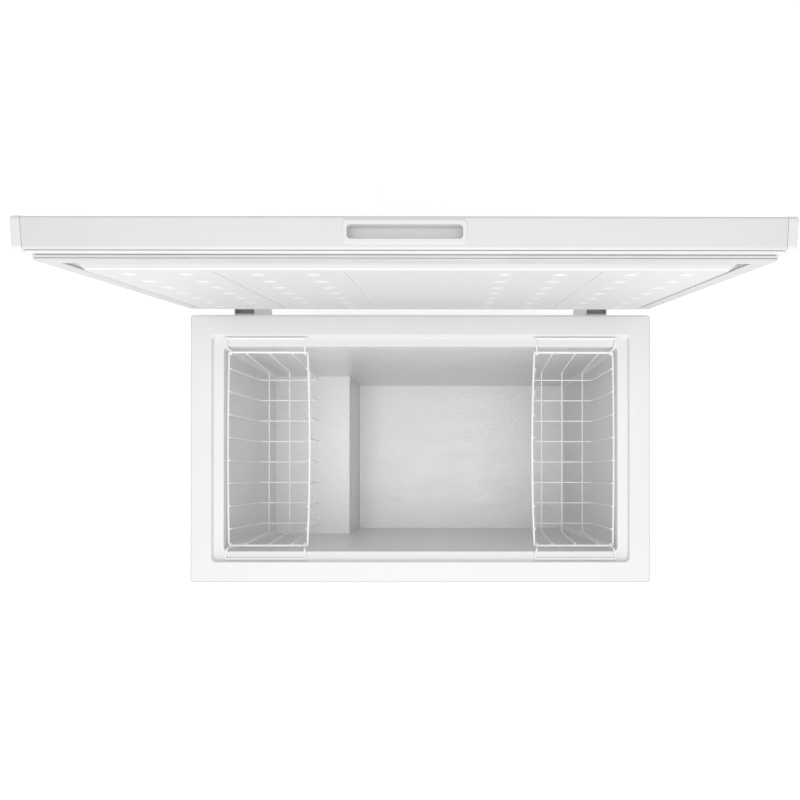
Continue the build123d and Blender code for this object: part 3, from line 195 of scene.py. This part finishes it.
def moulded_plastic(name, rgb, rough=0.4, grain=2400.0, depth=0.10):
    """Injection-moulded plastic with a fine spark-eroded grain and slight flow marks."""
    look = Shader(name, Specular_IOR_Level=0.45)
    flow = look.noise(5.0, detail=1.5, vector=look.stretched((1.0, 1.0, 0.35)))
    look.colour(look.mix(look.remap(flow, 0.2, 0.8, 0.0, 1.0), shade(rgb, 0.985), shade(rgb, 1.0)))
    look.roughness(look.remap(look.noise(40.0, detail=3.0), 0.2, 0.8, rough - 0.03, rough + 0.04))
    look.bump(look.noise(grain, detail=2.0), depth, 0.0002)
    return look.material


def lid_depth(look):
    """How far a point of the open lid lies behind the face of its inner panel."""
    angle = math.radians(LID_OPEN)
    into_lid = (0.0, math.sin(angle), math.cos(angle))
    node = look.tree.nodes.new("ShaderNodeVectorMath")
    node.operation = "DOT_PRODUCT"
    look.link(look.coordinates, node.inputs[0])
    node.inputs[1].default_value = into_lid
    at_pivot = LID_PIVOT[0] * into_lid[1] + LID_PIVOT[1] * into_lid[2]
    return look.sum(node.outputs["Value"], PANEL_BELOW_PIVOT - at_pivot)


def formed_plastic(name, rgb):
    """Vacuum-formed polystyrene sheet: satin, with painted highlights in its dimples and painted light on
    its flange.
    """
    look = Shader(name, Specular_IOR_Level=0.18)
    drift = look.noise(2.0, detail=1.0)
    base = look.mix(look.remap(drift, 0.2, 0.8, 0.0, 1.0), shade(rgb, 0.985), shade(rgb, 1.0))
    depth = lid_depth(look)
    # Painted highlight: the dimples, 0.7 to 2.4 mm behind the panel face, are painted paler than the
    # sheet.
    dimple_highlight_mask = look.sum(
        look.remap(depth, 0.0007, 0.0012, 0.0, 1.0), look.remap(depth, 0.0020, 0.0024, 1.0, 0.0),
        operation="MULTIPLY",
    )
    base = look.mix(dimple_highlight_mask, base, shade(rgb, DIMPLE_PAINTED_HIGHLIGHT))
    # Painted light: the flange, more than 10 mm behind the panel face, is painted paler than the rest of
    # the same sheet.
    look.colour(look.mix(look.remap(depth, 0.010, 0.013, 0.0, 1.0), base, shade(rgb, FLANGE_PAINTED_LIGHT)))
    look.roughness(look.remap(look.noise(14.0, detail=2.0), 0.25, 0.75, 0.48, 0.54))
    look.bump(look.noise(900.0, detail=2.0), 0.05, 0.0002)
    return look.material


def stucco_aluminium(name, rgb):
    """Aluminium sheet embossed with a small orange-skin pattern, rolled lengthways."""
    look = Shader(name, Metallic=0.38)
    grains = look.cells(185.0, feature="SMOOTH_F1", vector=look.stretched((1.0, 1.35, 1.35)))
    rolled = look.noise(34.0, detail=4.0, roughness=0.6, vector=look.stretched((0.3, 1.0, 1.0)))
    speckle = look.noise(240.0, detail=2.0, roughness=0.7)
    base = look.mix(look.remap(rolled, 0.3, 0.7, 0.0, 1.0), shade(rgb, 0.97), shade(rgb, 1.01))
    base = look.mix(look.remap(speckle, 0.38, 0.62, 0.0, 1.0), shade(rgb, 0.90), base)
    # Painted shade: the pits of the emboss, the low points of the bump, are painted slightly darker.
    look.colour(look.mix(look.remap(grains, 0.0, 0.8, 0.4, 0.0), base, shade(rgb, 0.88)))
    look.roughness(look.remap(rolled, 0.25, 0.75, 0.36, 0.46))
    look.bump(grains, 0.5, 0.0012)
    look.bump(look.noise(480.0, detail=3.0), 0.14, 0.0004)
    return look.material


def galvanised(name):
    """Zinc-coated steel with its spangle."""
    look = Shader(name, Metallic=0.85)
    spangle = look.cells(120.0, output="Color")
    tone = look.noise(60.0, detail=4.0)
    base = look.mix(0.12, (0.52, 0.54, 0.56, 1.0), spangle)
    look.colour(look.mix(look.remap(tone, 0.3, 0.7, 0.0, 0.5), base, (0.66, 0.67, 0.68, 1.0)))
    look.roughness(look.remap(look.cells(120.0), 0.0, 0.7, 0.34, 0.52))
    look.bump(look.noise(300.0, detail=3.0), 0.08, 0.0004)
    return look.material


def plated(name, rgb, rough=0.32, drawn=(1.0, 1.0, 0.08)):
    """Plated or drawn metal with fine lines along it."""
    look = Shader(name, Metallic=0.95)
    lines = look.noise(900.0, detail=3.0, vector=look.stretched(drawn))
    tint = look.noise(45.0, detail=3.0)
    look.colour(look.mix(look.remap(tint, 0.3, 0.7, 0.0, 1.0), shade(rgb, 0.86), shade(rgb, 1.05)))
    look.roughness(look.remap(lines, 0.3, 0.7, rough - 0.08, rough + 0.1))
    look.bump(lines, 0.08, 0.0002)
    return look.material


def black_enamel(name):
    """Sprayed black enamel on the compressor shell."""
    look = Shader(name, Coat_Weight=0.25, Coat_Roughness=0.2)
    dust = look.noise(30.0, detail=6.0, roughness=0.7)
    dusty = look.remap(dust, 0.4, 0.75, 0.0, 1.0)
    look.colour(look.mix(dusty, (0.012, 0.012, 0.013, 1.0), (0.035, 0.034, 0.033, 1.0)))
    look.roughness(look.remap(dust, 0.3, 0.7, 0.30, 0.5))
    look.bump(look.noise(520.0, detail=2.0), 0.12, 0.0004)
    return look.material


def black_plastic(name):
    """Matt black engineering plastic."""
    look = Shader(name, Specular_IOR_Level=0.35)
    tone = look.noise(70.0, detail=4.0)
    worn = look.remap(tone, 0.3, 0.7, 0.0, 1.0)
    look.colour(look.mix(worn, (0.014, 0.014, 0.015, 1.0), (0.028, 0.028, 0.03, 1.0)))
    look.roughness(look.remap(tone, 0.3, 0.7, 0.5, 0.64))
    look.bump(look.noise(1500.0, detail=2.0), 0.15, 0.0002)
    return look.material


def black_rubber(name):
    """Moulded rubber with a bloom of dust."""
    look = Shader(name, Specular_IOR_Level=0.3)
    bloom = look.noise(55.0, detail=5.0, roughness=0.65)
    dusty = look.remap(bloom, 0.35, 0.75, 0.0, 1.0)
    look.colour(look.mix(dusty, (0.012, 0.012, 0.012, 1.0), (0.05, 0.049, 0.047, 1.0)))
    look.roughness(look.remap(bloom, 0.3, 0.7, 0.66, 0.85))
    look.bump(look.noise(900.0, detail=3.0), 0.2, 0.0003)
    return look.material


def soft_gasket(name, rgb):
    """Soft extruded PVC seal."""
    look = Shader(name, Specular_IOR_Level=0.35, Subsurface_Weight=0.06)
    look.principled.inputs["Subsurface Scale"].default_value = 0.002
    tone = look.noise(18.0, detail=3.0)
    look.colour(look.mix(look.remap(tone, 0.3, 0.7, 0.0, 1.0), shade(rgb, 0.94), shade(rgb, 1.0)))
    look.roughness(look.remap(tone, 0.3, 0.7, 0.46, 0.58))
    look.bump(look.noise(700.0, detail=2.0), 0.08, 0.0002)
    return look.material


def powder_coat(name, rgb):
    """White powder coat or dipped plastic on welded wire."""
    look = Shader(name, Coat_Weight=0.15, Coat_Roughness=0.2)
    tone = look.noise(35.0, detail=3.0)
    look.colour(look.mix(look.remap(tone, 0.3, 0.7, 0.0, 1.0), shade(rgb, 0.97), shade(rgb, 1.0)))
    look.roughness(look.remap(tone, 0.3, 0.7, 0.30, 0.42))
    look.bump(look.noise(850.0, detail=2.0), 0.12, 0.0003)
    return look.material


def rigid_foam(name):
    """Cut polyurethane foam."""
    look = Shader(name, Specular_IOR_Level=0.2)
    pores = look.cells(700.0)
    tone = look.noise(12.0, detail=4.0)
    base = look.mix(look.remap(tone, 0.3, 0.7, 0.0, 1.0), (0.78, 0.66, 0.36, 1.0), (0.86, 0.76, 0.48, 1.0))
    # Painted shade: the pores, the low points of the bump, are painted darker.
    look.colour(look.mix(look.remap(pores, 0.0, 0.6, 0.5, 0.0), base, (0.60, 0.47, 0.22, 1.0)))
    look.roughness(look.remap(pores, 0.0, 0.7, 0.8, 0.95))
    look.bump(pores, 0.5, 0.0008)
    return look.material


def clear_lens(name, rgb):
    """Tinted clear plastic over a lamp that is off, with its prisms behind."""
    look = Shader(name, Coat_Weight=0.6, Coat_Roughness=0.05, IOR=1.49)
    prisms = look.cells(1100.0, feature="F1", randomness=0.15)
    # Painted highlight and shade: each prism cell is painted lighter in its middle and much darker towards
    # its edges.
    look.colour(look.mix(look.remap(prisms, 0.0, 0.5, 0.0, 1.0), shade(rgb, 1.15), shade(rgb, 0.6)))
    look.roughness(look.remap(prisms, 0.0, 0.6, 0.10, 0.22))
    look.bump(prisms, 0.15, 0.0003)
    return look.material


def copper(name):
    """Drawn copper tube, tarnished in patches."""
    look = Shader(name, Metallic=1.0)
    tarnish = look.noise(38.0, detail=5.0, roughness=0.65)
    dull = look.remap(tarnish, 0.35, 0.7, 0.0, 1.0)
    look.colour(look.mix(dull, (0.78, 0.42, 0.26, 1.0), (0.40, 0.20, 0.12, 1.0)))
    look.roughness(look.remap(tarnish, 0.3, 0.7, 0.26, 0.5))
    look.bump(look.noise(700.0, detail=2.0), 0.06, 0.0002)
    return look.material


MATERIALS = {
    "cabinet_paint": painted_sheet("cabinet_paint", (0.70, 0.70, 0.705)),
    "lid_paint": painted_sheet("lid_paint", (0.70, 0.69, 0.695)),
    "hinge_paint": painted_sheet("hinge_paint", (0.52, 0.52, 0.54)),
    "rim_plastic": moulded_plastic("rim_plastic", (0.84, 0.84, 0.85), rough=0.42),
    "lid_plastic": moulded_plastic("lid_plastic", (0.76, 0.75, 0.755), rough=0.46, depth=0.14),
    "trim_plastic": moulded_plastic("trim_plastic", (0.66, 0.66, 0.67), rough=0.44, depth=0.14),
    "plug_plastic": moulded_plastic("plug_plastic", (0.97, 0.97, 0.97), rough=0.35),
    "panel_plastic": moulded_plastic("panel_plastic", (0.55, 0.555, 0.57), rough=0.38),
    "lid_liner_plastic": formed_plastic("lid_liner_plastic", (0.72, 0.71, 0.717)),
    "liner_aluminium": stucco_aluminium("liner_aluminium", (0.94, 0.928, 0.935)),
    "galvanised": galvanised("galvanised"),
    "tube_steel": plated("tube_steel", (0.46, 0.47, 0.49), rough=0.38),
    "hinge_steel": plated("hinge_steel", (0.60, 0.61, 0.63), rough=0.30),
    "zinc_screw": plated("zinc_screw", (0.68, 0.69, 0.71), rough=0.26),
    "tube_copper": copper("tube_copper"),
    "black_paint": black_enamel("black_paint"),
    "black_plastic": black_plastic("black_plastic"),
    "rubber_black": black_rubber("rubber_black"),
    "gasket": soft_gasket("gasket", (0.65, 0.65, 0.66)),
    "wire_white": powder_coat("wire_white", (0.95, 0.95, 0.955)),
    "foam": rigid_foam("foam"),
    "lens_green": clear_lens("lens_green", (0.02, 0.30, 0.07)),
    "lens_red": clear_lens("lens_red", (0.45, 0.015, 0.012)),
    "lens_amber": clear_lens("lens_amber", (0.60, 0.22, 0.012)),
}

# Nodes that look different from the rest of their slot.
NODE_LOOKS = {"inner_drain_plug": "plug_plastic"}


def dress_cad_nodes():
    """Gives every CAD node the material of its own slot, or the look named for it above."""
    slots = {part["node"]: part["material_slot"] for part in frame["record"]["subparts"]}
    for name, piece in nodes.items():
        look = MATERIALS[NODE_LOOKS.get(name, slots[name])]
        for index in range(len(piece.material_slots)):
            piece.material_slots[index].material = look


# ---------------------------------------------------------------- small pieces

def mesh_piece(name, mesh, body, slot):
    """A finished mesh as a piece that rides on a body."""
    piece = bpy.data.objects.new(name, mesh)
    bpy.context.scene.collection.objects.link(piece)
    piece.data.materials.clear()
    piece.data.materials.append(MATERIALS[slot])
    for polygon in piece.data.polygons:
        polygon.use_smooth = True
    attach(piece, body)
    return piece


def tube_mesh(name, points, radius):
    """Round tube along points with capped ends, as a mesh."""
    curve = bpy.data.curves.new(name, "CURVE")
    curve.dimensions = "3D"
    curve.bevel_depth = radius
    curve.bevel_resolution = 5
    curve.use_fill_caps = True
    spline = curve.splines.new("POLY")
    spline.points.add(len(points) - 1)
    for place, point in zip(spline.points, points):
        place.co = (*point, 1.0)
    holder = bpy.data.objects.new(name + "_path", curve)
    bpy.context.scene.collection.objects.link(holder)
    graph = bpy.context.evaluated_depsgraph_get()
    mesh = bpy.data.meshes.new_from_object(holder.evaluated_get(graph))
    bpy.data.objects.remove(holder)
    return mesh


def coil_spring(side):
    """The hinge's compression spring, with close turns at both ends."""
    low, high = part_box(f"hinge_spring_{side}")
    centre = (low + high) / 2
    bottom = low.z + SPRING_WIRE
    top = high.z - SPRING_WIRE
    closed_pitch = 2.05 * SPRING_WIRE
    z0 = bottom + SPRING_DEAD_TURNS * closed_pitch
    z1 = top - SPRING_DEAD_TURNS * closed_pitch
    open_turns = SPRING_TURNS - 2 * SPRING_DEAD_TURNS
    points = []
    for index in range(SPRING_TURNS * SPRING_STEPS + 1):
        turn = index / SPRING_STEPS
        if turn < SPRING_DEAD_TURNS:
            z = bottom + turn * closed_pitch
        elif turn > SPRING_TURNS - SPRING_DEAD_TURNS:
            z = top - (SPRING_TURNS - turn) * closed_pitch
        else:
            z = z0 + (z1 - z0) * (turn - SPRING_DEAD_TURNS) / open_turns
        angle = 2 * math.pi * turn
        x = centre.x + SPRING_RADIUS * math.cos(angle)
        y = centre.y + SPRING_RADIUS * math.sin(angle)
        points.append((x, y, z))
    mesh = tube_mesh(f"coil_spring_{side}", points, SPRING_WIRE)
    piece = mesh_piece(f"coil_spring_{side}", mesh, "cabinet", "hinge_steel")
    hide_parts(f"hinge_spring_{side}")
    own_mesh(piece)


dress_cad_nodes()
for hinge_side in ("left", "right"):
    coil_spring(hinge_side)


# ---------------------------------------------------------------- floor, light and camera

def studio_floor():
    """Large white floor that stays bright round the freezer."""
    mesh = bpy.data.meshes.new("studio_floor")
    half = 30.0
    corners = [(-half, -half, 0.0), (half, -half, 0.0), (half, half, 0.0), (-half, half, 0.0)]
    mesh.from_pydata(corners, [], [(0, 1, 2, 3)])
    floor = bpy.data.objects.new("studio_floor", mesh)
    bpy.context.scene.collection.objects.link(floor)
    look = Shader("studio_floor", Roughness=0.9, Specular_IOR_Level=0.1)
    tone = look.noise(0.8, detail=2.0)
    drift = look.remap(tone, 0.3, 0.7, 0.0, 1.0)
    look.colour(look.mix(drift, (0.93, 0.93, 0.93, 1.0), (0.95, 0.95, 0.95, 1.0)))
    look.principled.inputs["Emission Color"].default_value = (1.0, 1.0, 1.0, 1.0)
    look.principled.inputs["Emission Strength"].default_value = FLOOR_GLOW
    mesh.materials.append(look.material)


def area_light(name, place, target, size, power):
    """Soft rectangular light aimed at a point."""
    data = bpy.data.lights.new(name, "AREA")
    data.shape = "RECTANGLE"
    data.size, data.size_y = size
    data.energy = power
    light = bpy.data.objects.new(name, data)
    light.location = place
    aim = Vector(target) - Vector(place)
    light.rotation_euler = aim.to_track_quat("-Z", "Y").to_euler()
    bpy.context.scene.collection.objects.link(light)


def sky():
    """Even white surround."""
    world = bpy.data.worlds.new("studio")
    world.use_nodes = True
    background = world.node_tree.nodes["Background"]
    background.inputs["Color"].default_value = (1.0, 1.0, 1.0, 1.0)
    background.inputs["Strength"].default_value = SKY_STRENGTH
    bpy.context.scene.world = world


def camera():
    """Looks straight down from above the front of the cabinet."""
    data = bpy.data.cameras.new("camera")
    data.sensor_width = SENSOR
    data.lens = LENS
    data.shift_x, data.shift_y = SHIFT
    data.clip_start = 0.05
    data.clip_end = 100.0
    eye = bpy.data.objects.new("camera", data)
    bpy.context.scene.collection.objects.link(eye)
    rx, ry, rz = (math.radians(angle) for angle in CAMERA_TILT)
    turn = Matrix.Rotation(rz, 3, "Z") @ Matrix.Rotation(ry, 3, "Y") @ Matrix.Rotation(rx, 3, "X")
    eye.matrix_world = Matrix.Translation(CAMERA_PLACE) @ turn.transposed().to_4x4()
    bpy.context.scene.camera = eye


studio_floor()
area_light("top_light", (0.0, -0.6, 4.2), (0.0, 0.0, 0.4), (3.6, 3.0), TOP_LIGHT_POWER)
area_light("front_light", (0.0, -3.6, 2.2), (0.0, 0.0, 0.8), (3.0, 2.2), FRONT_LIGHT_POWER)
area_light(
    "high_front_light", (0.0, -2.6, 4.0), (0.0, 0.0, 0.6), (4.0, 1.6), HIGH_FRONT_LIGHT_POWER,
)
sky()
camera()
bpy.context.scene.view_settings.view_transform = "Standard"
